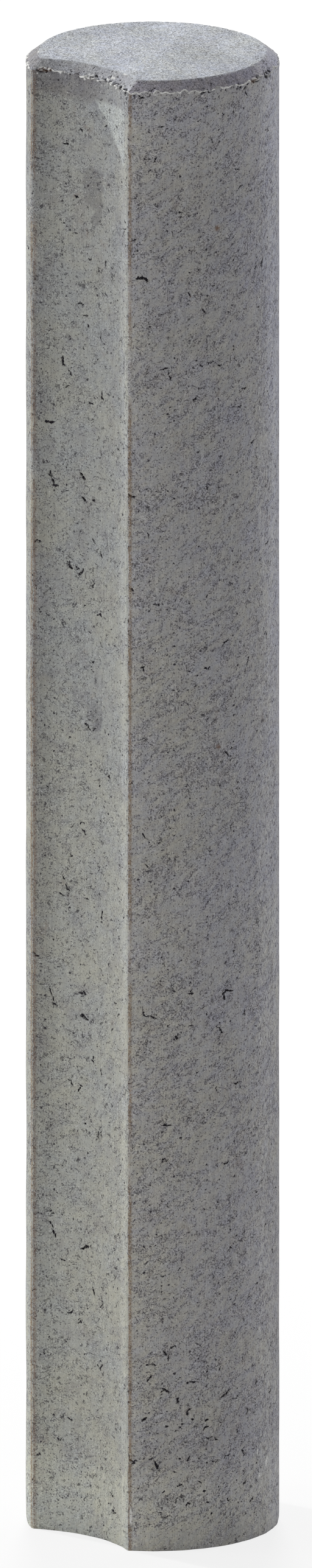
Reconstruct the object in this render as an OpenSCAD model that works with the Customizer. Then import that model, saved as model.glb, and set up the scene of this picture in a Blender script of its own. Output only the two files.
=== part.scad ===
// Concrete palisade: a round post cast in one piece, with a hollow down one side.
// The next post nests in the hollow, so a row of them makes a closed edging or a
// low retaining wall. It stands upright on its plain foot.
// The origin is at the foot, on the axis of the round. +Z is up and the hollow
// faces -Y, so X = 0 is the mirror plane. Sizes are in millimetres.

/* [Round] */

// Diameter of the round
post_d = 200; // [110:5:300]
// Height from the foot to the head
post_h = 1200; // [300:50:2500]

/* [Hollow side] */

// How far the next post's round reaches into this one
nest_depth = 25; // [10:1:45]
// Gap left between the next post's round and the hollow
joint_gap = 2; // [1:0.5:6]
// Width of the small flat along each edge of the hollow
arris_flat = 3; // [1:0.5:6]

/* [Head] */

// How far the chamfer round the head comes in from the side
chamfer_run = 10; // [2:1:20]
// How far the chamfer round the head comes down
chamfer_drop = 8; // [2:1:20]

/* [Hidden] */

$fn = 144;
post_r = post_d / 2;
// axis of the next post, when it is nested
pitch = post_d - nest_depth;
hollow_r = post_r + joint_gap;
// where the hollow's arc meets the round
edge_y = (post_r * post_r - hollow_r * hollow_r + pitch * pitch) / (2 * pitch);
// angles of the round and of the hollow at that edge, from the mirror plane
round_angle = acos(edge_y / post_r);
hollow_angle = acos((pitch - edge_y) / hollow_r);
// the arris flat cuts off the tip of the edge, square to the mirror plane
arris_depth = arris_flat / (1 / tan(round_angle) + 1 / tan(hollow_angle));
shoulder_z = post_h - chamfer_drop;
// how far the cutters run past the faces they cut
over = 5;
concrete_grey = [0.62, 0.62, 0.60];

module chamfered_round() {
    cylinder(r = post_r, h = shoulder_z);
    translate([0, 0, shoulder_z])
        cylinder(r1 = post_r, r2 = post_r - chamfer_run, h = chamfer_drop);
}

// the next post's round with the joint gap, widened at the head for the chamfer
module hollow_cutter() {
    widening = chamfer_run * (chamfer_drop + over) / chamfer_drop;
    translate([0, -pitch, -over])
        cylinder(r = hollow_r, h = post_h + 2 * over);
    translate([0, -pitch, shoulder_z])
        cylinder(r1 = hollow_r, r2 = hollow_r + widening, h = chamfer_drop + over);
}

module arris_cutter() {
    translate([-post_r, -post_d - edge_y + arris_depth, -over])
        cube([post_d, post_d, post_h + 2 * over]);
}

module palisade() {
    color(concrete_grey)
    difference() {
        chamfered_round();
        hollow_cutter();
        arris_cutter();
    }
}

palisade();
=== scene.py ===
import math
import random
from types import SimpleNamespace

import bmesh
import bpy
import numpy as np
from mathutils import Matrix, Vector, geometry, noise


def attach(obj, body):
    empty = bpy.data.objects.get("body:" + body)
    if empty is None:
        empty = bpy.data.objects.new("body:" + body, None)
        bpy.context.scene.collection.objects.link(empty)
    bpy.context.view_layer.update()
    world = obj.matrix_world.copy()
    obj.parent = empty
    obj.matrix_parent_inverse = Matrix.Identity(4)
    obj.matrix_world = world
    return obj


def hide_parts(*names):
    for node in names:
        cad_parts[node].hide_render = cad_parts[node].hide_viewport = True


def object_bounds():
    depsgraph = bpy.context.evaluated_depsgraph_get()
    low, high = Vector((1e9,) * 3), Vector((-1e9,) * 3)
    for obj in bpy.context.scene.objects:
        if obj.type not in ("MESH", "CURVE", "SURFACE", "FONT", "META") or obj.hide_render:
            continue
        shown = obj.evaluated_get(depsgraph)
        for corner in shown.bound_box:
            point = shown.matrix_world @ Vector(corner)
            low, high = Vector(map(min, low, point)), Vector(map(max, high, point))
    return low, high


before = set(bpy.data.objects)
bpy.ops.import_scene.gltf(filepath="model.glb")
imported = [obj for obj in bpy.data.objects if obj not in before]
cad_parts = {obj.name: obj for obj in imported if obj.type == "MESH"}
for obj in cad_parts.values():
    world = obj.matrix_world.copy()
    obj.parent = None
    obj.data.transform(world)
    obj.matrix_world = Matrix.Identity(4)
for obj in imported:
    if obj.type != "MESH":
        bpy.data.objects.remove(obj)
cadLow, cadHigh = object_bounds()
mm = 0.001

# the casting: sizes in metres, and how worn it is
post = {
    "roundRadius": 100 * mm,
    "hollowRadius": 102 * mm,
    "pitch": 175 * mm,  # to the axis of the next post
    "chamferRun": 10 * mm,
    "chamferDrop": 8 * mm,
    "headBand": 7 * mm,  # how far the sheet reaches onto the head before it is closed
    "swell": 0.35 * mm,  # slow unevenness left by the mould
    "headSwell": 0.5 * mm,
    "wave": 0.5 * mm,  # the same, slower, up the post
    "rimBite": 1.1 * mm,  # how far the head's rim is chipped
    "arris": 0.8 * mm,  # how deep the edges of the hollow are worn flat
    "arrisWear": 0.7 * mm,
    "arrisGrain": 0.42 * mm,
    "arrisChip": 2.2 * mm,
    "arrisSoftness": 0.35 * mm,
    "footWear": 1.0 * mm,
    "fin": 1.0 * mm,  # height of the casting line round the head
    "finWidth": 0.6 * mm,
    "finDrift": 1.4 * mm,
    "scallop": 4.2 * mm,  # how much the line hangs in small arcs
    "crumble": 1.7 * mm,  # how rough the broken places under it are
    "crumbleBand": 2.9 * mm,
    "pits": 330,
    "seed": 11,
    # mesh sizes, on plain surface and where it has to be finer
    "cell": 5.2 * mm,
    "lineCell": 0.55 * mm,
    "rimCell": 0.9 * mm,
    "footCell": 1.3 * mm,
    "arrisCell": 1.1 * mm,
    "pitCell": 0.5 * mm,
    "paleCell": 0.6 * mm,
    "greyCell": 2.6 * mm,
    "stainCell": 1.2 * mm,
}

# voids listed one by one: mm along, mm up from the foot, length, width, tilt in degrees
# on the round, along is from the right edge of the hollow towards the back
roundMarks = [
    # high up
    (9, 1040.5, 3.5, 2.4, 20), (12, 1041, 4.5, 3.8, 0), (15, 1040, 4.5, 3.2, -32),
    (29, 965, 5, 1.4, -30), (35, 961, 9, 1.4, -62), (69, 967.5, 7, 1.0, -12), (76, 965.5, 4, 2.6, -20),
    (55, 941, 5, 1.7, 30), (125, 1041, 7, 1.9, 55), (116, 1037, 5, 1.4, 30), (42, 1094, 3, 1.7, -20),
    # the middle and below it
    (82, 737, 7, 1.9, 20), (107, 718, 7, 1.6, 40), (14, 721, 4, 2.0, 50), (65, 719, 4, 1.7, -30),
    (86, 449, 13, 3.0, 8), (19, 439, 13, 1.6, -12), (78, 426, 11, 1.6, 5), (52, 455, 5, 1.7, -55),
    (32, 349, 5, 2.2, 20), (31, 319, 7, 1.7, 10), (82, 313, 4, 1.7, 35), (105, 105, 5, 2.6, 60),
    (14, 108, 5, 2.9, 30), (3, 76, 5, 1.9, -40), (6.5, 72.5, 4, 2.0, 10), (101, 73, 6, 1.7, -50),
    (3.5, 862, 5, 2.4, -30), (2.5, 786, 4, 2.0, -60),
    # near the foot
    (32, 160, 6, 2.3, -45), (19, 153, 7, 1.5, 10), (76.5, 145, 3, 1.8, 60), (81, 124, 6.5, 2.8, 50),
    (50.5, 138, 6, 1.8, 35), (30.5, 130, 7, 2.1, -15), (41, 123, 4, 2.0, 60), (64.5, 105, 3.5, 2.2, 20),
    (52.5, 106.5, 2.5, 1.9, -30), (44, 103.5, 2, 1.8, 0), (31.5, 102, 2.5, 2.0, 0), (38.5, 98, 2.5, 1.8, 0),
    (66.5, 91.5, 6, 1.4, 25), (73.5, 89, 4, 1.4, -10), (94, 91, 3, 1.8, 45), (141, 154, 6, 1.8, 70),
    (138.5, 116.5, 7, 1.6, 65), (116, 127, 3, 1.6, 60), (23.5, 70.5, 5, 2.6, -60), (19.5, 75.5, 4, 1.4, 10),
    (49.5, 75, 4, 1.6, 60), (42, 75, 2, 1.8, 0), (73, 70.5, 5, 1.3, 10), (83, 72.5, 5, 1.3, 20),
    (49.5, 37.5, 5, 1.7, 20), (33, 42, 2.5, 1.8, 0), (39.5, 41, 4, 1.5, 65), (62.5, 47, 3, 1.9, 0),
    (58.5, 55, 3, 1.7, -30), (43, 53, 6, 1.4, 5), (65, 37.5, 2, 1.7, 0), (69, 28, 2.5, 1.9, 30),
    (110.5, 32, 4, 1.7, 30), (86, 37, 4, 1.4, 60), (102, 48, 3.5, 1.7, 40), (26.5, 31.5, 2.5, 1.8, 0),
    # small ones high up
    (62, 1012, 3, 1.3, -50), (50, 1027, 3, 1.4, -35), (97, 928, 4, 1.3, -20), (60, 968, 3, 1.4, 10),
    (84, 1110, 2, 1.1, 0), (36, 1078, 2, 1.1, -60), (93, 1124, 3, 1.2, 20), (70, 1150, 3, 1.0, -40),
    # by the casting line
    (7, 1195, 2.5, 1.3, 0), (19, 1194.5, 5.5, 1.2, -8), (7, 1188, 3, 1.3, 10), (10, 1189.5, 2, 1.3, -50),
    (12.5, 1188, 2.5, 1.5, 0), (18, 1190.5, 3, 1.0, 80), (58, 1191.5, 2, 1.5, 0), (66.5, 1190, 2, 1.5, -20),
    (96, 1191, 3.5, 1.3, 30), (105, 1190.5, 2, 1.5, 0), (82, 1190, 2, 1.3, 80), (104, 1183, 3.5, 1.3, -40),
    (115, 1190.5, 5.5, 2, 10), (131, 1193.5, 4, 1.5, 40), (136, 1194.5, 3, 1.3, 30),
]
# in the hollow, along is from its left edge
hollowMarks = [
    # high up
    (27, 957, 7, 2.2, -62), (33, 948, 5, 1.4, -50), (49, 945, 3, 1.6, 35), (30, 937, 3.5, 1.7, 50),
    (66, 935, 5, 1.9, -60), (53, 926, 4, 1.3, -10), (43, 1006, 5, 1.6, -5), (47, 996, 4, 1.5, -50),
    (70, 1044, 4, 2.0, -80), (62, 1037, 3, 1.5, 70), (52, 1044, 4, 1.3, -10), (38, 1063, 2, 1.3, 0),
    (27, 1070, 2, 1.2, 0), (45, 970, 3, 1.7, -50), (64, 982, 2.5, 1.3, -70), (101, 1085, 3, 1.6, -20),
    # the middle
    (16, 864, 4.5, 2.2, -50), (19, 856.5, 6, 2.4, -45), (44.5, 865.5, 5, 2.6, -40),
    (46, 846.5, 6.5, 3.6, -40), (56, 847.5, 3, 2.4, 0), (31, 793, 4, 1.4, 40),
    (33.5, 791, 6, 1.8, -45), (40, 789.5, 5, 1.4, -20), (43, 787, 5, 2.0, 65), (56, 814, 4, 1.7, -65),
    (65, 805.5, 4, 1.7, 75), (57.5, 778, 5, 1.5, -70),
    (62, 754, 4.5, 1.9, -35), (64.5, 755.5, 3, 1.5, 65), (46.5, 760, 2.2, 1.7, 0), (20.5, 668.5, 2.2, 1.7, 0),
    (50, 662, 7, 1.9, -25), (57, 660, 4, 1.3, 20), (74, 625, 4, 2.6, -70), (62.5, 615.5, 2.5, 2.0, 60),
    (13, 607.5, 3, 1.7, -30), (44.5, 581, 5, 1.2, -5), (46, 574.5, 5.5, 1.7, -50), (27, 534, 4, 2.2, -45),
    (30, 527, 5, 2.0, -50), (49, 521.5, 3, 1.5, -45), (30.5, 513, 3, 1.7, 40), (66.5, 510.5, 6, 1.8, -60),
    # the groups of the middle again, twice, a little changed
    (16, 440.5, 4, 1.8, -50), (19, 433, 5, 2.0, -45), (44.5, 441.5, 5, 2.2, -40), (46, 423, 6.5, 3.4, -40),
    (33, 368.5, 6, 1.7, -40), (42, 364.5, 6, 1.8, 50), (56, 390.5, 4, 1.6, -65), (65, 382, 4, 1.6, 75),
    (62, 330, 4.5, 1.9, -35), (64.5, 331.5, 3, 1.5, 65), (47, 336.5, 2.2, 1.7, 0), (16, 250.5, 4.5, 2.0, -50),
    (19, 243, 5, 2.2, -45), (46.5, 233, 6.5, 3.4, -40), (33, 178, 6, 1.7, -40), (42, 174.5, 6, 1.7, 50),
    (56, 200.5, 4, 1.6, -65), (65, 192, 4, 1.5, 75), (62, 140, 4.5, 1.9, -35), (64.5, 141.5, 3, 1.5, 65),
    # torn out above the line
    (57, 1195.5, 3.5, 1.7, -20), (51.5, 1193.5, 2, 1.2, 0), (53.5, 1198, 1.5, 0.8, 20),
    (70.5, 1198, 3, 1.3, 10), (78.5, 1200.5, 2.5, 1.8, 0), (84, 1198, 1.5, 1.1, 50),
    (79.5, 1195.5, 2, 0.9, 50), (86.5, 1196.5, 2, 1.2, 45), (94.5, 1196.5, 2, 1.0, 40),
    (101, 1199, 1.5, 1.0, 40), (98.5, 1193, 2, 0.9, -20), (89, 1195.5, 1.5, 0.9, 45),
    (65, 1195, 1.5, 0.9, 0),
]

# broken places along the casting line: mm along, half length, how badly, mm above the line
roundBreaks = [
    (9, 6, 0.35, -4.5), (24, 6, 0.3, -2.0), (61, 7, 0.5, -2.5), (97, 8, 0.5, -2.5), (115, 6, 0.9, -0.5),
    (136, 6, 1.0, 0.0), (190, 14, 0.6, -2.5), (262, 9, 0.5, -2.5), (330, 22, 0.8, -2.5), (450, 12, 0.7, -2.5),
]
hollowBreaks = [(9, 5, 1.2, 0.5), (52, 6, 0.7, 1.5), (70, 9, 0.9, 2.5), (88, 9, 0.9, 1.0), (101, 4, 0.8, 0.0)]

# pale scratches and chips: mm along the whole way round, mm up the unrolled side, length, width, tilt
paleMarks = [
    (132, 59, 11, 3.4, 66), (121, 50, 8, 2.6, 64), (118, 70, 6, 1.8, 80), (155, 50, 14, 1.8, 85),
    (3, 28, 16, 2.4, 90), (119, 1078, 3, 0.6, 80), (121, 1010, 4, 0.6, 85),
    (608, 1205, 5.5, 2.0, 5), (592.5, 1204.5, 1.5, 1.5, 0), (569, 1190.5, 2.5, 2.0, 0),
    (499, 1204.5, 4.5, 1.6, 0), (486, 1203.5, 2.0, 1.0, 0), (466, 1186, 3, 1.4, 10), (8, 690, 2.0, 0.9, 80),
]

# brown spots, the same way
stainMarks = [
    (74, 1078, 4.5, 4.5, 0), (75, 654, 4, 4, 0), (114, 1192, 9, 4, 10), (51, 1024, 2, 2, 0),
    (250, 900, 5, 4, 0), (532, 1194, 11, 4, 0),
]

# grey bruises, the same way
greyMarks = [
    (579, 1101, 23, 36, 8), (581, 1078, 10, 12, 0), (579, 848, 6, 6, 0), (580, 674, 19, 27, 0),
    (579, 424, 6, 6, 0),
]

topZ = cadHigh.z
shoulderZ = topZ - post["chamferDrop"]


def eased(low, high, x):
    t = np.clip((x - low) / (high - low), 0, 1)
    return t * t * (3 - 2 * t)


def cloudy(x, y, z, size, octaves=3):
    # smooth random value about 0, with features of this size
    return noise.fractal(Vector((x, y, z)) / size, 1.0, 2.0, octaves)


def edgeAngles(inset):
    # half angles of the round and of the hollow where they meet
    r, h, p = post["roundRadius"] - inset, post["hollowRadius"] + inset, post["pitch"]
    edgeY = (r * r - h * h + p * p) / (2 * p)
    return math.acos(edgeY / r), math.acos((p - edgeY) / h)


roundAngle, hollowAngle = edgeAngles(0)
roundLength = (2 * math.pi - 2 * roundAngle) * post["roundRadius"]
hollowLength = 2 * hollowAngle * post["hollowRadius"]
girth = roundLength + hollowLength
chamferLength = math.hypot(post["chamferRun"], post["chamferDrop"])
headReach = post["roundRadius"] - post["chamferRun"]
chamferEnd = shoulderZ + chamferLength
sheetEnd = chamferEnd + post["headBand"]


def sectionAt(s, inset):
    # point and outward normal at distance s round the section: from the right edge of the
    # hollow round the back to its left edge, then across the hollow
    a, b = edgeAngles(inset)
    if s <= roundLength or s > girth - 0.001 * mm:
        turn = a + (s / roundLength if s <= roundLength else 0) * 2 * (math.pi - a)
        nx, ny = math.sin(turn), -math.cos(turn)
        r = post["roundRadius"] - inset
        return nx * r, ny * r, nx, ny
    turn = b * (1 - 2 * (s - roundLength) / hollowLength)
    nx, ny = math.sin(turn), -math.cos(turn)
    h = post["hollowRadius"] + inset
    return -nx * h, -ny * h - post["pitch"], nx, ny


chance = random.Random(post["seed"])
pits = []  # along, up, length, width, tilt, depth


def addPit(s, v, length, width, tilt, depth):
    # a void is a few overlapping hollows on a crooked line
    parts = 1 if length < 1.9 * width else max(1, round(length / width / 1.1))
    turn = math.radians(tilt)
    step = (length - width * 0.8) / max(1, parts - 1) if parts > 1 else 0
    x = s - math.cos(turn) * step * (parts - 1) / 2
    y = v - math.sin(turn) * step * (parts - 1) / 2
    for i in range(parts):
        bend = turn + chance.gauss(0, 0.6 if parts > 1 else 0.1)
        long = (step * 1.15 + width * 0.2) if parts > 1 else length
        hollow = (x, y, long, width * chance.uniform(0.4, 1.05), bend, depth * chance.uniform(0.7, 1.1))
        for turnRound in (-girth, 0, girth):
            if -8 * mm < x + turnRound < girth + 8 * mm:
                pits.append((x + turnRound,) + hollow[1:])
        x += math.cos(bend) * step
        y += math.sin(bend) * step


def addRandomPit():
    # small voids lie mostly in clouds, and off the foot and the casting line
    while True:
        s, v = chance.uniform(0, girth), chance.uniform(12 * mm, shoulderZ - 10 * mm)
        if chance.random() < 0.35 or cloudy(s, v, 0, 45 * mm, 2) > 0.1:
            break
    size = (1.3 + 1.3 * chance.random() ** 3) * mm
    addPit(s, v, size * chance.uniform(1.0, 2.6), size * chance.uniform(0.6, 0.95),
           chance.gauss(0, 40), size * chance.uniform(0.4, 0.6))


for shift, marks in ((0, roundMarks), (roundLength, hollowMarks)):
    for s, v, length, width, tilt in marks:
        addPit(s * mm + shift, v * mm, length * mm, width * mm, tilt, width * 0.55 * mm)
for i in range(post["pits"]):
    addRandomPit()
pits = np.array(pits)
print("voids:", len(pits), "hollows")


def fromPits(flat, margin):
    # for each point, how far out in the nearest void it is, 1 at its rim; and how deep it goes there
    away, depth = np.full(len(flat), 9.0), np.zeros(len(flat))
    order = np.argsort(flat[:, 1])
    heights = flat[order, 1]
    for s, v, length, width, tilt, deep in pits:
        reach = 1.7 * (length / 2 + margin.max())
        first, last = np.searchsorted(heights, (v - reach, v + reach))
        near = order[first:last]
        near = near[np.abs(flat[near, 0] - s) < reach]
        d, wider = flat[near] - (s, v), margin[near]
        c, k = math.cos(tilt), math.sin(tilt)
        along, over = d[:, 0] * c + d[:, 1] * k, -d[:, 0] * k + d[:, 1] * c
        a = np.hypot(along / (length / 2 + wider), over / (width / 2 + wider))
        angle = np.arctan2(over, along)
        a *= 1 + 0.16 * np.sin(3 * angle + v * 900) + 0.12 * np.sin(7 * angle + s * 1700)
        closer = a < away[near]
        away[near[closer]] = a[closer]
        depth[near] = np.maximum(depth[near], deep * (1 - eased(0.45, 1.1, a)))
    return away, depth


def within(flat, marks, grow=0.0):
    # for each point, how far out in the nearest of these marks it is, 1 at the rim of the grown mark
    away = np.full(len(flat), 9.0)
    for s, v, length, width, tilt in marks:
        d = flat / mm - (s, v)
        c, k = math.cos(math.radians(tilt)), math.sin(math.radians(tilt))
        along, over = d[:, 0] * c + d[:, 1] * k, -d[:, 0] * k + d[:, 1] * c
        long, wide = length + 2 * grow / mm, width + 2 * grow / mm
        away = np.minimum(away, np.hypot(along / long, over / wide) * 2)
    return away


def wantedSize(flat, reach):
    # the mesh size wanted within this reach of each place on the sheet
    s, v = flat[:, 0], flat[:, 1]
    offLine = np.maximum(np.maximum(shoulderZ - 4 * mm - v, v - shoulderZ - 1.2 * mm), 0)
    size = np.minimum(post["cell"], post["lineCell"] + 0.22 * offLine)
    size = np.minimum(size, post["rimCell"] + 0.6 * np.abs(v - chamferEnd))
    size = np.minimum(size, post["footCell"] + 0.5 * v)
    edge = np.minimum(np.minimum(s, girth - s), np.abs(s - roundLength))
    size = np.where(v < chamferEnd, np.minimum(size, post["arrisCell"] + 0.5 * edge), size)
    away = fromPits(flat, reach + 0.3 * mm)[0]
    size = np.where(away < 1.0, np.minimum(size, post["pitCell"]), size)
    for marks, cell, rim in ((paleMarks, "paleCell", 1.2), (greyMarks, "greyCell", 1.2),
                             (stainMarks, "stainCell", 1.4)):
        near = within(flat, marks, 0.7 * reach) < rim
        size = np.where(near, np.minimum(size, post[cell]), size)
    return size


def spread(length, size, fine=0.0):
    # even steps along a length, with a few fine ones at both ends
    ends = [fine * i for i in range(4)] if fine else [0.0]
    gap = length - 2 * ends[-1]
    count = max(1, round(gap / size))
    inner = [ends[-1] + gap * i / count for i in range(1, count)]
    return ends + inner + [length - x for x in ends[::-1]]


def unrolledSheet():
    # the surface laid flat: x round the post, y up the side, over the chamfer and onto the head
    cell = post["cell"]
    across = spread(roundLength, cell, 0.9 * mm)
    across += [roundLength + x for x in spread(hollowLength, cell, 0.9 * mm)[1:]]
    up = spread(shoulderZ, cell)
    up += [shoulderZ + x for x in spread(chamferLength, 2.2 * mm)[1:]]
    up += [chamferEnd + x for x in spread(sheetEnd - chamferEnd, 2.4 * mm)[1:]]
    bm = bmesh.new()
    grid = [[bm.verts.new((x, y, 0)) for x in across] for y in up]
    for low, high in zip(grid, grid[1:]):
        for i in range(len(across) - 1):
            bm.faces.new((low[i], low[i + 1], high[i + 1], high[i]))
    return bm


def refine(bm):
    # halves edges, a few times over, until none is much longer than the size wanted there
    for turn in range(4):
        ends = np.array([[v.co[:2] for v in e.verts] for e in bm.edges])
        long = np.linalg.norm(ends[:, 1] - ends[:, 0], axis=1)
        picked = long > 1.45 * wantedSize(ends.mean(1), long / 2)
        bmesh.ops.subdivide_edges(bm, edges=[e for e, p in zip(bm.edges, picked) if p],
                                  cuts=1, use_grid_fill=True)
        print("refined", turn + 1, "times:", len(bm.verts), "points")


# the piece's own map: the sheet below, the head and the foot side by side above it
mapLayout = {
    "edge": 0.01,
    "sheet": (0.98, 0.77),
    "headAt": 0.25,
    "footAt": 0.75,
    "endsUp": 0.895,
    "endScale": (2.3, 0.95),  # for each metre
}


def layMap(bm):
    # lays the sheet out flat on the map
    sheetMap = bm.loops.layers.uv.new("OFBake")
    wide, high = mapLayout["sheet"]
    edge = mapLayout["edge"]
    for face in bm.faces:
        for corner in face.loops:
            s, v = corner.vert.co[:2]
            corner[sheetMap].uv = (edge + wide * s / girth, edge + high * v / sheetEnd)


def plainSurface(s, v):
    # where this place on the sheet is when it is rolled up: point, outward normal, inset of the section
    over = (v - shoulderZ) / chamferLength
    inset, z, nz, shrink = 0.0, v, 0.0, 1.0
    if v > chamferEnd:
        inset, z, nz = post["chamferRun"], topZ, 1.0
        shrink = 1 - (v - chamferEnd) / headReach
    elif v > shoulderZ:
        inset, z = over * post["chamferRun"], shoulderZ + over * post["chamferDrop"]
        nz = post["chamferRun"] / chamferLength
    x, y, nx, ny = sectionAt(s, inset)
    return x * shrink, y * shrink, z, nx, ny, nz, inset


def headRelief(x, y):
    return post["headSwell"] * cloudy(x, y, 4, 55 * mm, 2) + 0.06 * mm * cloudy(x, y, 1, 7 * mm, 2)


def slowRelief(x, y, z, side, v, onHead, onUpright):
    # the mould's slow unevenness, and the head's slightly chipped rim
    lift = post["swell"] * (cloudy(x, y, z, 70 * mm, 2) - 0.4) * (1 - onHead) + headRelief(x, y) * onHead
    if onUpright:
        lift += post["wave"] * cloudy(x * 0.3, 5, z, 160 * mm, 2) * float(1 - eased(0, 40 * mm, side))
    if abs(v - chamferEnd) < 2.5 * mm:
        bite = max(0.0, cloudy(x, y, 20, 3.5 * mm, 2) - 0.2)
        lift -= post["rimBite"] * bite * math.exp(-((v - chamferEnd) / (1.0 * mm)) ** 2)
    return lift


def brokenAt(s):
    # how broken the casting line is at this place, and how far above the line
    amount, above = 0.12 + 0.25 * max(0.0, cloudy(s, 3, 0, 40 * mm, 2)), -2.5
    for shift, breaks in ((0, roundBreaks), (roundLength, hollowBreaks)):
        for middle, half, share, height in breaks:
            away = abs(s - shift - middle * mm)
            here = share * math.exp(-(min(away, girth - away) / (half * mm)) ** 2)
            if here > amount:
                amount, above = here, height
    return amount, above * mm


def castingLine(x, y, z, s, v):
    # the casting line where the head's form met the mould, and the broken places by it:
    # how far above it the point is, the line's ridge, and the crumbs and their dent
    wave = abs(cloudy(x, y, 8, 5.5 * mm, 1))
    drift = post["finDrift"] * cloudy(x, y, 0, 18 * mm, 2) + post["scallop"] * (wave - 0.16)
    fromLine = v - shoulderZ - drift
    if abs(fromLine) >= 14 * mm:
        return fromLine, 0.0, 0.0, 0.0
    broken, above = brokenAt(s)
    gap = 0.80 + 1.9 * cloudy(x + 3, y, 0, 9 * mm, 3)
    amount = min(1.0, max(0.0, gap)) * min(1.0, 0.35 + wave / 0.05)
    ridge = amount * (1 - 0.7 * min(1.0, broken)) * math.exp(-(fromLine / post["finWidth"]) ** 2)
    band = math.exp(-((fromLine - above) / post["crumbleBand"]) ** 2)
    crumb = (1.3 * cloudy(x, y + 5, z * 1.2, 3.2 * mm, 3) - 0.05) * broken * band
    return fromLine, ridge, crumb, 0.15 * broken * band


def wearArris(p, x, z, inset):
    # the edges of the hollow are worn flat, more in some places than in others
    worn = post["arris"] + post["arrisWear"] * (0.3 + 1.2 * cloudy(x * 0.2, 7, z, 14 * mm))
    worn += post["arrisGrain"] * cloudy(x * 0.2, 3, z, 4 * mm, 2)
    worn += post["arrisChip"] * max(0.0, cloudy(x * 0.3 + 9, 2, z, 36 * mm, 2) - 0.42)
    sharpEdge = -(post["roundRadius"] - inset) * math.cos(edgeAngles(inset)[0])
    cut = sharpEdge + max(0.25 * mm, worn)
    soft = post["arrisSoftness"]
    inside = (p.y - cut) / soft
    if inside < 20:
        p.y = cut + soft * math.log1p(math.exp(max(-30.0, inside)))


def wearFoot(p, x, y, nx, ny, side, v):
    # the foot's edge is slightly ragged, but not at the edges of the hollow
    off = post["footWear"] * max(0.0, 0.45 + 0.8 * cloudy(x, y, 0, 22 * mm))
    off *= float(eased(0.6 * mm, 4 * mm, side))
    p -= Vector((nx, ny, 0)) * off * (1 - float(eased(0, 3.5 * mm, v)))


# what each point keeps for the material; shoulder and arris are mm from that edge
markNames = ("pit", "shoulder", "arris", "crumb", "headFace", "chip", "spot", "bruise", "fin")


def rollUp(bm):
    # rolls the sheet up into the post and gives every point its relief
    flat = np.array([v.co[:2] for v in bm.verts])
    away, deep = fromPits(flat, np.zeros(len(flat)))
    inPit = np.clip((1.6 - away) / 1.1, 0, 1)
    pale = np.clip(1.6 * (1.25 - within(flat, paleMarks)), 0, 1)
    brown = np.clip(1.5 - within(flat, stainMarks), 0, 1)
    grey = np.clip(1.5 - within(flat, greyMarks), 0, 1)
    layers = {name: bm.verts.layers.float.new(name) for name in markNames}
    for (s, v), pit, hole, chip, spot, bruise, vert in zip(flat, deep, inPit, pale, brown, grey, bm.verts):
        x, y, z, nx, ny, nz, inset = plainSurface(s, v)
        flatPart = math.sqrt(1 - nz * nz)
        side = min(abs(s), abs(girth - s), abs(s - roundLength))
        onHead = float(eased(chamferEnd - 1.5 * mm, chamferEnd + 1.5 * mm, v))
        lift = slowRelief(x, y, z, side, v, onHead, nz == 0)
        fromLine, ridge, crumb, dent = castingLine(x, y, z, s, v)
        lift += post["fin"] * ridge
        lift += post["crumble"] * (crumb - dent)
        lift -= 1.8 * post["crumble"] * max(0.0, -crumb - 0.06)
        lift -= pit
        p = Vector((x, y, z)) + Vector((nx * flatPart, ny * flatPart, nz)) * lift
        if v <= chamferEnd:
            wearArris(p, x, z, inset)
        if v < 6 * mm:
            wearFoot(p, x, y, nx, ny, side, v)
        vert.co = p
        above = max(-30.0, min(30.0, fromLine / mm)) if v < chamferEnd else 30.0
        fromArris = min(60.0, side / mm) * (1 if s <= roundLength else -1)
        for name, value in zip(markNames, (hole, above, fromArris, crumb, onHead, chip, spot, bruise, ridge)):
            vert[layers[name]] = value


def closeEnd(bm, z, relief, values):
    # fills the open end at this height with an even mesh
    rim = [e for e in bm.edges if e.is_boundary and abs(e.verts[0].co.z - z) < 4 * mm]
    outline = list(dict.fromkeys(v for e in rim for v in e.verts))
    order = {v: i for i, v in enumerate(outline)}
    cell = post["cell"]
    steps = math.ceil(post["roundRadius"] / cell)
    inner = []
    for j in range(-steps, steps + 1):
        for i in range(-steps, steps + 1):
            p = Vector(((i + 0.5 * (j % 2)) * cell, j * cell * 0.87))
            if p.length < post["roundRadius"] and min((v.co.xy - p).length for v in outline) > cell * 0.6:
                inner.append(p)
    joins = [(order[e.verts[0]], order[e.verts[1]]) for e in rim]
    points, _, faces, source = geometry.delaunay_2d_cdt(
        [v.co.xy for v in outline] + inner, joins, [], 1, 1e-7)[:4]
    made = []
    for p, came in zip(points, source):
        if came and came[0] < len(outline):
            made.append(outline[came[0]])
            continue
        vert = bm.verts.new((p.x, p.y, z + relief(p.x, p.y)))
        for name, value in values.items():
            vert[bm.verts.layers.float[name]] = value
        made.append(vert)
    sheetMap = bm.loops.layers.uv["OFBake"]
    middleU = mapLayout["headAt"] if z > 0 else mapLayout["footAt"]
    wide, high = mapLayout["endScale"]
    for face in faces:
        for corner in bm.faces.new([made[i] for i in face]).loops:
            p = corner.vert.co
            corner[sheetMap].uv = (middleU + p.x * wide, mapLayout["endsUp"] + p.y * high)
    for vert in made:
        if not vert.link_faces:
            bm.verts.remove(vert)


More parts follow.
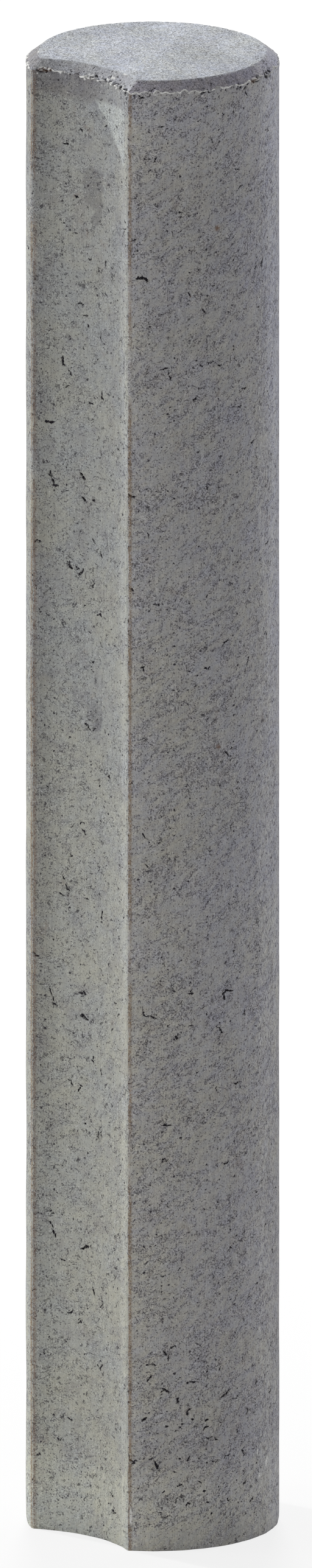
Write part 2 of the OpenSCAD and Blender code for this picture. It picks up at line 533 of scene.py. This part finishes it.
def buildCasting():
    bm = unrolledSheet()
    refine(bm)
    layMap(bm)
    rollUp(bm)
    bmesh.ops.remove_doubles(bm, verts=[v for v in bm.verts if v.is_boundary], dist=0.02 * mm)
    closeEnd(bm, topZ, headRelief, {"shoulder": 30, "arris": 30, "headFace": 1})
    closeEnd(bm, 0.0, lambda x, y: 0.0, {"shoulder": -30, "arris": 30})
    bmesh.ops.recalc_face_normals(bm, faces=bm.faces)
    mesh = bpy.data.meshes.new("palisadeCasting")
    bm.to_mesh(mesh)
    loose = sum(1 for e in bm.edges if not e.is_manifold)
    bm.free()
    mesh.shade_smooth()
    mesh.set_sharp_from_angle(angle=math.radians(38))
    mesh.calc_loop_triangles()
    print("casting:", len(mesh.loop_triangles), "triangles,", loose, "open edges")
    return bpy.data.objects.new("palisadeCasting", mesh)


casting = buildCasting()
bpy.context.scene.collection.objects.link(casting)
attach(casting, "root")
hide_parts("palisade")


# colours are linear, lengths in metres
concrete = {
    "cool": (0.384, 0.381, 0.391, 1),
    "warm": (0.404, 0.396, 0.366, 1),
    "hollowCool": (0.357, 0.368, 0.359, 1),
    "hollowWarm": (0.384, 0.384, 0.342, 1),
    "headCool": (0.418, 0.438, 0.488, 1),
    "headWarm": (0.416, 0.434, 0.452, 1),
    # painted light in the top right corner of the hollow
    "paintedLitCorner": (0.432, 0.453, 0.441, 1),
    "darkGrit": (0.092, 0.086, 0.092, 1),
    # pale grains, partly painted highlights beside the dark specks
    "paleGritAndGlint": (0.640, 0.640, 0.630, 1),
    "pore": (0.030, 0.026, 0.034, 1),
    "rust": (0.160, 0.098, 0.068, 1),
    "ochre": (0.215, 0.148, 0.090, 1),
    "stain": (0.250, 0.200, 0.165, 1),
    # pale mould flash and wear, partly a painted highlight on the casting line
    "paleWearAndHighlight": (0.78, 0.78, 0.76, 1),
    "finBack": (0.48, 0.48, 0.47, 1),
    # these multiply what is under them
    "haze": (0.925, 0.914, 0.938, 1),  # where dark specks crowd together
    "dull": (0.960, 0.971, 1.006, 1),
    "earthy": (1.038, 1.025, 0.988, 1),
    "bruise": (0.865, 0.848, 0.872, 1),
    "bruiseDark": (0.740, 0.730, 0.750, 1),
    "shadeTint": (0.745, 0.720, 0.740, 1),
    "sideTint": (0.900, 0.910, 0.970, 1),  # beyond the front
    # painted rim light
    "paintedRimLight": (1.22, 1.24, 1.31, 1),
    "highTint": (0.990, 0.992, 1.018, 1),  # near the head
    "topTint": (1.09, 1.09, 1.08, 1),
    "lowTint": (1.010, 1.003, 0.978, 1),  # near the foot
    "footTint": (1.22, 1.23, 1.22, 1),
    "hornTint": (0.86, 0.86, 0.86, 1),  # the round beyond the hollow's left edge
    "hornHead": (0.90, 0.90, 0.90, 1),
    "hornFoot": (1.23, 1.24, 1.22, 1),
    "hollowHigh": (0.876, 0.880, 0.900, 1),  # the upper half of the hollow
    # painted shade on the chamfer
    "paintedChamferShade": (0.876, 0.846, 0.915, 1),
    "hollowChamfer": (1.33, 1.365, 1.35, 1),
    "patchSize": 60 * mm,
    "openSize": 24 * mm,
    "sway": 50 * mm,  # how far the grain's lie rises and falls round the post
    "grainSize": 1.1 * mm,
    "mottleSize": 9 * mm,
    "bruiseSize": 19 * mm,
    "cloudSize": 38 * mm,  # on the head
    "stainSize": 17 * mm,
    "stainShare": 0.35,
    "groupSize": 6 * mm,  # groups of specks
    "speckSize": 1.15 * mm,
    "strokeSize": 2.0 * mm,
    "gritShare": 0.80,
    "glintSize": 1.5 * mm,
    "glintShare": 0.45,
    "dotSize": 2.4 * mm,
    "poreSize": 3.4 * mm,
    "crackSize": 9 * mm,
    "crackWidth": 0.036,
    "footBand": (4 * mm, 26 * mm),  # the smoother skin at the foot fades out between these heights
    "rustSize": 22 * mm,
    "rustShare": 0.80,
    "streakAt": 1.75,  # bearing of the long scuff, in radians
    "bumpStrength": 0.7,
    "bumpHeight": 0.9 * mm,
}


def addNode(tree, kind, **values):
    made = tree.nodes.new(kind)
    for key, value in values.items():
        if key in made.inputs:
            made.inputs[key].default_value = value
        else:
            setattr(made, key, value)
    return made


def freshTree(owner):
    owner.use_nodes = True
    owner.node_tree.nodes.clear()
    return owner.node_tree


def link(output, socket):
    socket.id_data.links.new(output, socket)


skin = bpy.data.materials.new("castConcrete")
skinTree = freshTree(skin)
place = addNode(skinTree, "ShaderNodeTexCoord").outputs["Object"]


def feed(value, socket):
    # a plain value is set on the socket, anything else is linked to it
    if isinstance(value, (int, float, tuple)):
        socket.default_value = value
    else:
        link(value, socket)


def mixed(share, a, b, mode="MIX"):
    mix = addNode(skinTree, "ShaderNodeMix", data_type="RGBA", blend_type=mode)
    for value, slot in ((share, 0), (a, 6), (b, 7)):
        feed(value, mix.inputs[slot])
    return mix.outputs[2]


def tinted(share, colour, tint):
    return mixed(share, colour, mixed(1.0, colour, tint, "MULTIPLY"))


def maths(op, a, b=0.0, c=0.0, clamp=False):
    n = addNode(skinTree, "ShaderNodeMath", operation=op, use_clamp=clamp)
    for value, slot in ((a, 0), (b, 1), (c, 2)):
        feed(value, n.inputs[slot])
    return n.outputs[0]


def times(*values):
    product = values[0]
    for value in values[1:]:
        product = maths("MULTIPLY", product, value)
    return product


def strongest(*values):
    most = values[0]
    for value in values[1:]:
        most = maths("MAXIMUM", most, value)
    return most


def scaled(value, by, plus):
    return maths("MULTIPLY_ADD", value, by, plus)


def without(share):
    return maths("SUBTRACT", 1.0, share)


def ramp(value, low, high, outLow=0.0, outHigh=1.0, kind="SMOOTHSTEP"):
    n = addNode(skinTree, "ShaderNodeMapRange", interpolation_type=kind)
    for i, v in enumerate((value, low, high, outLow, outHigh)):
        feed(v, n.inputs[i])
    return n.outputs[0]


def linear(value, low, high, outLow=0.0, outHigh=1.0):
    return ramp(value, low, high, outLow, outHigh, "LINEAR")


def stretched(vector, by):
    n = addNode(skinTree, "ShaderNodeMapping")
    n.inputs["Scale"].default_value = by
    link(vector, n.inputs[0])
    return n.outputs[0]


def noiseOf(vector, size, detail=2.0, rough=0.5, distort=0.0):
    n = addNode(skinTree, "ShaderNodeTexNoise", Scale=1 / size, Detail=detail, Roughness=rough)
    n.inputs["Distortion"].default_value = distort
    link(vector, n.inputs["Vector"])
    return n.outputs["Fac"]


def wavering(vector, size, detail=2.0, rough=0.5):
    # noise about 0
    return maths("SUBTRACT", noiseOf(vector, size, detail, rough), 0.5)


def attribute(name):
    return addNode(skinTree, "ShaderNodeAttribute", attribute_name=name).outputs["Fac"]


def bent(vector, size, by):
    # the place moved about by up to half of this much
    wobble = addNode(skinTree, "ShaderNodeTexNoise", Scale=1 / size, Detail=1.0)
    link(vector, wobble.inputs["Vector"])
    centred = addNode(skinTree, "ShaderNodeVectorMath", operation="SUBTRACT")
    link(wobble.outputs["Color"], centred.inputs[0])
    centred.inputs[1].default_value = (0.5, 0.5, 0.5)
    push = addNode(skinTree, "ShaderNodeVectorMath", operation="SCALE", Scale=by)
    link(centred.outputs[0], push.inputs[0])
    moved = addNode(skinTree, "ShaderNodeVectorMath", operation="ADD")
    link(vector, moved.inputs[0])
    link(push.outputs[0], moved.inputs[1])
    return moved.outputs[0]


def cells(vector, size):
    # for each cell its distance field, and two random values
    v = addNode(skinTree, "ShaderNodeTexVoronoi", Scale=1 / size)
    link(vector, v.inputs["Vector"])
    split = addNode(skinTree, "ShaderNodeSeparateColor")
    link(v.outputs["Color"], split.inputs[0])
    return v.outputs["Distance"], split.outputs[0], split.outputs[1]


def pores(vector, size, radius, density):
    # specks: one to a cell of this size, in the share of cells that density gives
    distance, chosen, wide = cells(vector, size)
    widest = scaled(wide, radius, radius * 0.5)
    depth = maths("SUBTRACT", 1.0, maths("DIVIDE", distance, widest), clamp=True)
    return times(ramp(depth, 0.0, 0.4), maths("LESS_THAN", chosen, density))


def veins(vector, size, width):
    # thin crooked lines
    off = maths("ABSOLUTE", maths("SUBTRACT", noiseOf(vector, size, 3, 0.55, 0.8), 0.5))
    return ramp(off, width * 0.4, width, 1.0, 0.0)


def gaps(vector, size, width):
    # the dark joints between grains
    v = addNode(skinTree, "ShaderNodeTexVoronoi", Scale=1 / size, feature="DISTANCE_TO_EDGE")
    link(vector, v.inputs["Vector"])
    return ramp(v.outputs["Distance"], width * 0.4, width, 1.0, 0.0)


def whereOn():
    # where on the casting a point is: its marks, its place, and shares between 0 and 1
    at = SimpleNamespace(**{name: attribute(name) for name in markNames})
    apart = addNode(skinTree, "ShaderNodeSeparateXYZ")
    link(place, apart.inputs[0])
    at.x, at.y, at.z = apart.outputs
    at.bearing = maths("ARCTAN2", at.x, maths("MULTIPLY", at.y, -1.0))
    at.onSide = without(at.headFace)
    at.onChamfer = times(ramp(at.shoulder, 0.2, 1.4), at.onSide)
    at.inHollow = ramp(at.arris, 0.3, -0.3)
    at.leftSide = maths("LESS_THAN", at.x, 0.0)
    at.fromEdge = maths("ABSOLUTE", at.arris)
    at.pastHorn = times(ramp(at.bearing, -0.3, -0.5), ramp(at.bearing, -2.6, -1.8))
    at.onFront = times(without(at.inHollow), ramp(at.bearing, -0.2, 0.2))
    # the lie of the skin: it rises and falls round the post, and swirls
    swayed = addNode(skinTree, "ShaderNodeCombineXYZ")
    link(at.x, swayed.inputs[0])
    link(at.y, swayed.inputs[1])
    tide = maths("SINE", maths("SUBTRACT", at.bearing, 1.0))
    link(scaled(tide, -concrete["sway"], at.z), swayed.inputs[2])
    at.flow = bent(stretched(swayed.outputs[0], (1, 1, 1.5)), 40 * mm, 30 * mm)
    # open, sandy skin in clouds, and smooth paste between them
    clouds = ramp(noiseOf(at.flow, concrete["openSize"], 4, 0.62), 0.40, 0.62)
    at.openSkin = strongest(clouds, at.onChamfer)
    at.patch = ramp(noiseOf(place, concrete["patchSize"], 4, 0.62), 0.38, 0.62)
    at.loose = bent(place, 1.4 * mm, 1.0 * mm)
    at.pitEdge = noiseOf(place, 1.3 * mm, 3, 0.65)
    at.corner = paintedLightCorner(at)
    return at


def paintedLightCorner(at):
    # painted light: a lit patch in the top right corner of the hollow, under a slanting frayed edge
    slant = 900.0  # mm across for each metre up
    litEdge = scaled(at.z, slant, 17.6 - slant * 1.1411)
    frayed = scaled(wavering(place, 9 * mm, 3, 0.6), 3.5, at.fromEdge)
    inside = ramp(maths("SUBTRACT", frayed, litEdge), 2.0, -2.0)
    underLine, offArris = ramp(at.z, 1.178, 1.172), ramp(at.fromEdge, 4.5, 8.0)
    return times(at.inHollow, without(at.leftSide), inside, underLine, offArris)


def plainPaste(at):
    # large patches, warmer and cooler
    warmth = scaled(without(at.openSkin), 0.3, times(at.patch, 0.7))
    onRound = mixed(warmth, concrete["cool"], concrete["warm"])
    inHollow = mixed(warmth, concrete["hollowCool"], concrete["hollowWarm"])
    return mixed(strongest(at.inHollow, at.pastHorn), onRound, inHollow)


def tintedByPlace(colour, at):
    behindFront = times(ramp(at.bearing, 0.7, 1.5), ramp(at.bearing, 3.0, 2.2))
    # painted rim light: lighter and bluer on the side round from +X, more towards the top
    rimLightShare = times(ramp(at.bearing, 1.70, 1.98), ramp(at.bearing, 2.8, 2.1), ramp(at.z, 0.2, 1.1))
    offArris = strongest(at.leftSide, ramp(at.fromEdge, 3.0, 7.0))
    tints = {
        "sideTint": behindFront,
        "highTint": ramp(at.z, 0.95, 1.15),
        "paintedRimLight": rimLightShare,
        "hornTint": at.pastHorn,
        "hornHead": times(at.pastHorn, ramp(at.z, 1.05, 1.15)),
        "hornFoot": times(at.pastHorn, linear(at.z, 0.50, 0.02)),
        "hollowHigh": times(at.inHollow, ramp(at.z, 0.35, 0.95), ramp(at.x, -0.046, -0.012), offArris),
        "topTint": times(at.onFront, ramp(at.z, 1.11, 1.14)),
        "lowTint": ramp(at.z, 0.7, 0.1),
        "footTint": ramp(at.z, 0.09, 0.03),
        # painted shade on the chamfer, strongest on its front half
        "paintedChamferShade": times(at.onChamfer, ramp(at.y, 0.07, 0.0, 0.35, 1.0)),
        "hollowChamfer": times(at.onChamfer, at.inHollow),
    }
    for tint, share in tints.items():
        colour = tinted(share, colour, concrete[tint])
    return colour


def paintedHollowShadeAndLight(colour, at):
    # painted shade: the left of the hollow is darker, and so is its top under the head; painted light: its
    # top right corner is pale
    high = times(ramp(at.shoulder, -24.0, -15.0), scaled(ramp(at.x, 0.004, 0.022), -0.60, 1.0))
    shade = times(at.leftSide, ramp(at.fromEdge, 26.0, 2.0), ramp(at.z, 0.05, 0.50, 0.27, 0.36))
    shade = strongest(times(shade, ramp(at.z, 1.08, 1.15, 1.0, 0.3)), high)
    shade = times(shade, at.inHollow, without(at.onChamfer))
    colour = tinted(shade, colour, concrete["shadeTint"])
    return mixed(times(at.corner, 0.8), colour, concrete["paintedLitCorner"])


def sanded(colour, at):
    # sand grains; the height is the bump they give
    share = times(linear(at.openSkin, 0.0, 1.0, 0.35, 1.0), scaled(at.inHollow, -0.10, 1.0))
    share = strongest(share, at.headFace)
    tone = cells(at.loose, 1.0 * mm)[1]
    sand = maths("ADD", times(tone, 0.5), noiseOf(place, concrete["grainSize"], 2, 0.6))
    onSide = linear(sand, 0.40, 1.1, 0.64, 1.38)
    onHead = linear(sand, 0.45, 1.05, 0.52, 1.50)
    return tinted(share, colour, mixed(at.headFace, onSide, onHead)), sand, times(sand, share)


def mottled(colour, at):
    mottle = ramp(noiseOf(at.flow, concrete["mottleSize"], 3, 0.6), 0.36, 0.64)
    hue = mixed(mottle, concrete["dull"], concrete["earthy"])
    colour = tinted(scaled(at.inHollow, -0.5, 1.0), colour, hue)
    bruised = ramp(noiseOf(bent(place, 12 * mm, 10 * mm), concrete["bruiseSize"], 3, 0.55), 0.50, 0.66)
    bruised = times(bruised, at.onSide, scaled(at.inHollow, 0.4, 0.4))
    colour = tinted(bruised, colour, concrete["bruise"])
    grey = ramp(scaled(wavering(place, 7 * mm, 4, 0.6), 1.6, at.bruise), 0.40, 0.75)
    colour = tinted(grey, colour, concrete["bruiseDark"])
    clouds = noiseOf(place, concrete["cloudSize"], 2, 0.5)
    colour = tinted(at.headFace, colour, linear(clouds, 0.3, 0.7, 0.86, 1.14))
    stained = ramp(noiseOf(bent(place, 9 * mm, 8 * mm), concrete["stainSize"], 4, 0.65), 0.62, 0.74)
    return mixed(times(stained, concrete["stainShare"]), colour, concrete["stain"])


def specked(colour, at, groups):
    # dark specks and short strokes, crowded where the skin is open, and pale glints, partly pale grains and
    # partly painted highlights by the specks
    hazy = times(groups, at.onSide, scaled(at.inHollow, -0.5, 1.0), scaled(at.onChamfer, -0.7, 1.0))
    colour = tinted(hazy, colour, concrete["haze"])
    ragged = bent(place, 1.2 * mm, 1.1 * mm)
    fewer = scaled(times(at.inHollow, ramp(at.x, -0.045, 0.01)), -0.5, 1.0)
    fewer = times(fewer, ramp(at.z, *concrete["footBand"], 0.35, 1.0))
    crowd = times(linear(groups, 0.0, 1.0, 0.035, 0.46), fewer)
    specks = pores(ragged, concrete["speckSize"], 0.42, crowd)
    torn = scaled(groups, 0.08, noiseOf(place, 1.4 * mm, 2, 0.6))
    strokes = times(gaps(ragged, concrete["strokeSize"], 0.20), ramp(torn, 0.61, 0.65), fewer)
    grit = times(strongest(specks, strokes), scaled(at.onChamfer, -0.4, 1.0))
    colour = mixed(times(grit, concrete["gritShare"]), colour, concrete["darkGrit"])
    glints = pores(at.loose, concrete["glintSize"], 0.36, linear(groups, 0.0, 1.0, 0.10, 0.26))
    return mixed(times(glints, concrete["glintShare"]), colour, concrete["paleGritAndGlint"]), grit


def darkVoids(at, groups):
    # pores, dots, crooked little cracks, and the voids and crumbs of the mesh
    single = times(strongest(scaled(at.inHollow, 0.5, 0.5), ramp(at.z, 0.35, 0.12)), at.onSide)
    dots = times(pores(bent(place, 2 * mm, 0.8 * mm), concrete["dotSize"], 0.17, 0.26), single)
    crooked = bent(place, 1.9 * mm, 2.0 * mm)
    wide = pores(crooked, concrete["poreSize"], 0.23, linear(groups, 0.0, 1.0, 0.10, 0.28))
    wide = times(wide, 0.95, at.onSide, ramp(at.z, *concrete["footBand"], 0.3, 1.0))
    crackAt = strongest(ramp(at.openSkin, 0.2, 0.8, 0.15, 1.0), times(at.inHollow, 0.8))
    broken = ramp(noiseOf(place, 5 * mm, 3, 0.6), 0.56, 0.63)
    lines = veins(stretched(place, (1, 1, 1.5)), concrete["crackSize"], concrete["crackWidth"])
    crack = times(lines, broken, crackAt, at.onSide)
    hole = ramp(scaled(maths("SUBTRACT", at.pitEdge, 0.5), 2.4, at.pit), 0.50, 0.72)
    tornOut = ramp(at.crumb, -0.07, -0.22, 0.0, 0.92)
    return strongest(wide, times(crack, 0.85), times(dots, 0.85), strongest(hole, tornOut))


def rusted(colour, at):
    # brown spots, and rust along the edges of the hollow with small holes eaten beside it
    spotted = times(at.spot, ramp(noiseOf(place, 1.6 * mm, 2), 0.3, 0.5), 0.9)
    colour = mixed(spotted, colour, concrete["rust"])
    byRound = times(ramp(at.fromEdge, 0.3, 1.0), ramp(at.fromEdge, 5.0, 2.6), without(at.inHollow))
    byHollow = times(ramp(at.fromEdge, 0.2, 0.8), ramp(at.fromEdge, 5.5, 0.6), at.inHollow, at.leftSide)
    breaks = noiseOf(stretched(place, (1, 1, 0.3)), concrete["rustSize"], 4, 0.7)
    breaks = ramp(maths("ADD", breaks, ramp(at.z, 0.30, 0.05, 0.0, 0.12)), 0.32, 0.52)
    grain = ramp(noiseOf(place, 1.3 * mm, 2, 0.6), 0.36, 0.58, 0.30, 1.0)
    rusty = times(strongest(byRound, byHollow), at.onSide, breaks, grain, without(at.onChamfer))
    rustTone = mixed(at.inHollow, concrete["ochre"], concrete["rust"])
    colour = mixed(times(rusty, concrete["rustShare"]), colour, rustTone)
    eaten = times(ramp(at.fromEdge, 0.3, 0.9), ramp(at.fromEdge, 3.6, 1.6), at.onFront, breaks)
    eaten = times(eaten, pores(at.loose, 1.5 * mm, 0.42, 0.36))
    return mixed(times(eaten, 0.85), colour, concrete["pore"])


def scuffed(colour, at):
    # pale marks: the casting line, crumbs, chips, and the side that was rubbed and scored; their pale tone is
    # partly a painted highlight on the casting line, and duller towards the back
    line = ramp(scaled(wavering(place, 2.0 * mm, 3, 0.7), 1.0, at.fin), 0.16, 0.36)
    pale = strongest(times(line, 0.9), ramp(at.crumb, 0.08, 0.24, 0.0, 0.75))
    pale = strongest(pale, times(at.chip, ramp(at.pitEdge, 0.36, 0.50), 0.85))
    dashes = noiseOf(stretched(bent(place, 12 * mm, 4 * mm), (1, 1, 0.30)), 1.2 * mm, 3, 0.65)
    uneven = scaled(wavering(stretched(place, (1, 1, 0.16)), 14 * mm, 3, 0.6), 0.35, dashes)
    rubbed = times(ramp(at.bearing, 1.58, 1.90), ramp(at.bearing, 2.7, 2.0), at.onSide)
    swing = wavering(stretched(place, (0, 0, 1)), 70 * mm)
    fromStreak = maths("ABSOLUTE", maths("SUBTRACT", scaled(swing, 0.12, at.bearing), concrete["streakAt"]))
    streak = times(ramp(fromStreak, 0.006, 0.018, 1.0, 0.0), ramp(dashes, 0.52, 0.62))
    scuff = strongest(times(rubbed, ramp(uneven, 0.53, 0.66)), streak)
    pale = strongest(pale, times(scuff, at.onSide, 0.72))
    scored = times(rubbed, ramp(uneven, 0.46, 0.35))
    colour = mixed(times(scored, 0.62), colour, concrete["darkGrit"])
    byBack = times(ramp(at.y, -0.02, 0.05), scaled(at.chip, -0.8, 1.0))
    return mixed(pale, colour, mixed(byBack, concrete["paleWearAndHighlight"], concrete["finBack"]))


def finishConcrete():
    at = whereOn()
    colour = paintedHollowShadeAndLight(tintedByPlace(plainPaste(at), at), at)
    colour = mixed(at.headFace, colour, mixed(at.patch, concrete["headCool"], concrete["headWarm"]))
    # drag marks from stripping the mould
    drag = noiseOf(stretched(place, (1, 1, 0.05)), 1.0 * mm, 2, 0.6)
    colour = tinted(at.onSide, colour, linear(drag, 0.3, 0.7, 0.90, 1.11))
    colour, sand, sandHeight = sanded(colour, at)
    colour = mottled(colour, at)
    gather = scaled(at.openSkin, 0.08, noiseOf(at.flow, concrete["groupSize"], 4, 0.70))
    groups = ramp(scaled(at.inHollow, -0.025, gather), 0.50, 0.62)
    # fewer specks inside the painted light of the hollow's corner
    groups = times(groups, scaled(at.corner, -0.7, 1.0))
    colour, grit = specked(colour, at, groups)
    dark = darkVoids(at, groups)
    colour = mixed(dark, colour, concrete["pore"])
    colour = scuffed(rusted(colour, at), at)
    height = scaled(sandHeight, 0.5, times(drag, 0.15))
    height = maths("SUBTRACT", height, strongest(dark, times(grit, 0.7)))
    bump = addNode(skinTree, "ShaderNodeBump")
    bump.inputs["Strength"].default_value = concrete["bumpStrength"]
    bump.inputs["Distance"].default_value = concrete["bumpHeight"]
    bsdf = addNode(skinTree, "ShaderNodeBsdfPrincipled")
    bsdf.inputs["Specular IOR Level"].default_value = 0.25
    link(height, bump.inputs["Height"])
    link(bump.outputs[0], bsdf.inputs["Normal"])
    link(colour, bsdf.inputs["Base Color"])
    link(linear(sand, 0.4, 1.1, 0.82, 0.96), bsdf.inputs["Roughness"])
    link(bsdf.outputs[0], addNode(skinTree, "ShaderNodeOutputMaterial").inputs[0])


finishConcrete()
casting.data.materials.append(skin)
print("concrete ready:", len(skinTree.nodes), "nodes")


# turn is the bearing from -Y towards +X, height the angle above level
lamps = {
    "key": dict(turn=274, height=36, away=6.0, size=0.12, power=150),
    "leftBox": dict(turn=279, height=31, away=6.0, size=0.8, power=42),
    "backBox": dict(turn=222, height=36, away=6.0, size=1.5, power=225),
    "rimBox": dict(turn=170, height=6, away=6.0, size=1.6, power=70),
    "sideBox": dict(turn=314, height=8, away=5.0, size=2.4, power=90),
}
studio = {
    "air": 0.435,  # light from all round
    "white": (1, 1, 1, 1),
    "floorTone": (0.75, 0.75, 0.75, 1),
    "floorWhite": 0.8,  # how much of what the camera sees of the floor is plain white
    "floorRadius": 40,
    "floorDrop": 0.2 * mm,
}
shot = {"turn": 42, "height": 15, "span": 1.2382, "sideways": 2.64 * mm, "upward": 0.6 * mm, "away": 6.0}
middle = (cadLow + cadHigh) / 2


def addObject(name, data):
    made = bpy.data.objects.new(name, data)
    bpy.context.scene.collection.objects.link(made)
    return made


def direction(turn, height):
    a, e = math.radians(turn), math.radians(height)
    return Vector((math.sin(a) * math.cos(e), -math.cos(a) * math.cos(e), math.sin(e)))


def softbox(name, turn, height, away, size, power):
    lamp = bpy.data.lights.new(name, "AREA")
    lamp.shape, lamp.size, lamp.energy = "DISK", size, power
    box = addObject(name, lamp)
    box.location = middle + direction(turn, height) * away
    box.rotation_euler = direction(turn, height).to_track_quat("Z", "Y").to_euler()
    box.visible_camera = False


def fillWorld():
    # even light from all round, and plain white behind
    world = bpy.data.worlds.new("studioAir")
    bpy.context.scene.world = world
    tree = freshTree(world)
    lit = addNode(tree, "ShaderNodeBackground", Color=studio["white"], Strength=studio["air"])
    seen = addNode(tree, "ShaderNodeBackground", Color=studio["white"], Strength=1.0)
    choose = addNode(tree, "ShaderNodeMixShader")
    link(addNode(tree, "ShaderNodeLightPath").outputs["Is Camera Ray"], choose.inputs[0])
    link(lit.outputs[0], choose.inputs[1])
    link(seen.outputs[0], choose.inputs[2])
    link(choose.outputs[0], addNode(tree, "ShaderNodeOutputWorld").inputs[0])


def palePaper():
    # the camera sees it nearly white, with the shadow still on it
    paper = bpy.data.materials.new("palePaper")
    tree = freshTree(paper)
    matt = addNode(tree, "ShaderNodeBsdfDiffuse", Color=studio["floorTone"])
    glow = addNode(tree, "ShaderNodeEmission", Color=studio["white"], Strength=1.0)
    mix = addNode(tree, "ShaderNodeMixShader")
    share = addNode(tree, "ShaderNodeMath", operation="MULTIPLY")
    share.inputs[1].default_value = studio["floorWhite"]
    link(addNode(tree, "ShaderNodeLightPath").outputs["Is Camera Ray"], share.inputs[0])
    link(share.outputs[0], mix.inputs[0])
    link(matt.outputs[0], mix.inputs[1])
    link(glow.outputs[0], mix.inputs[2])
    link(mix.outputs[0], addNode(tree, "ShaderNodeOutputMaterial").inputs[0])
    return paper


def layFloor():
    bm = bmesh.new()
    bmesh.ops.create_circle(bm, cap_ends=True, segments=64, radius=studio["floorRadius"])
    mesh = bpy.data.meshes.new("floor")
    bm.to_mesh(mesh)
    bm.free()
    mesh.materials.append(palePaper())
    floor = addObject("floor", mesh)
    floor.location.z = cadLow.z - studio["floorDrop"]


def placeCamera():
    lens = bpy.data.cameras.new("camera")
    lens.type = "ORTHO"
    lens.ortho_scale = shot["span"]
    lens.clip_end = 100
    back = direction(shot["turn"], shot["height"])
    turned = back.to_track_quat("Z", "Y")
    aim = Vector((0, 0, topZ / 2)) + turned @ Vector((shot["sideways"], shot["upward"], 0))
    camera = addObject("camera", lens)
    camera.location = aim + back * shot["away"]
    camera.rotation_euler = turned.to_euler()
    bpy.context.scene.camera = camera


for name, values in lamps.items():
    softbox(name, **values)
fillWorld()
layFloor()
placeCamera()
bpy.context.scene.view_settings.view_transform = "Standard"
print("studio ready")
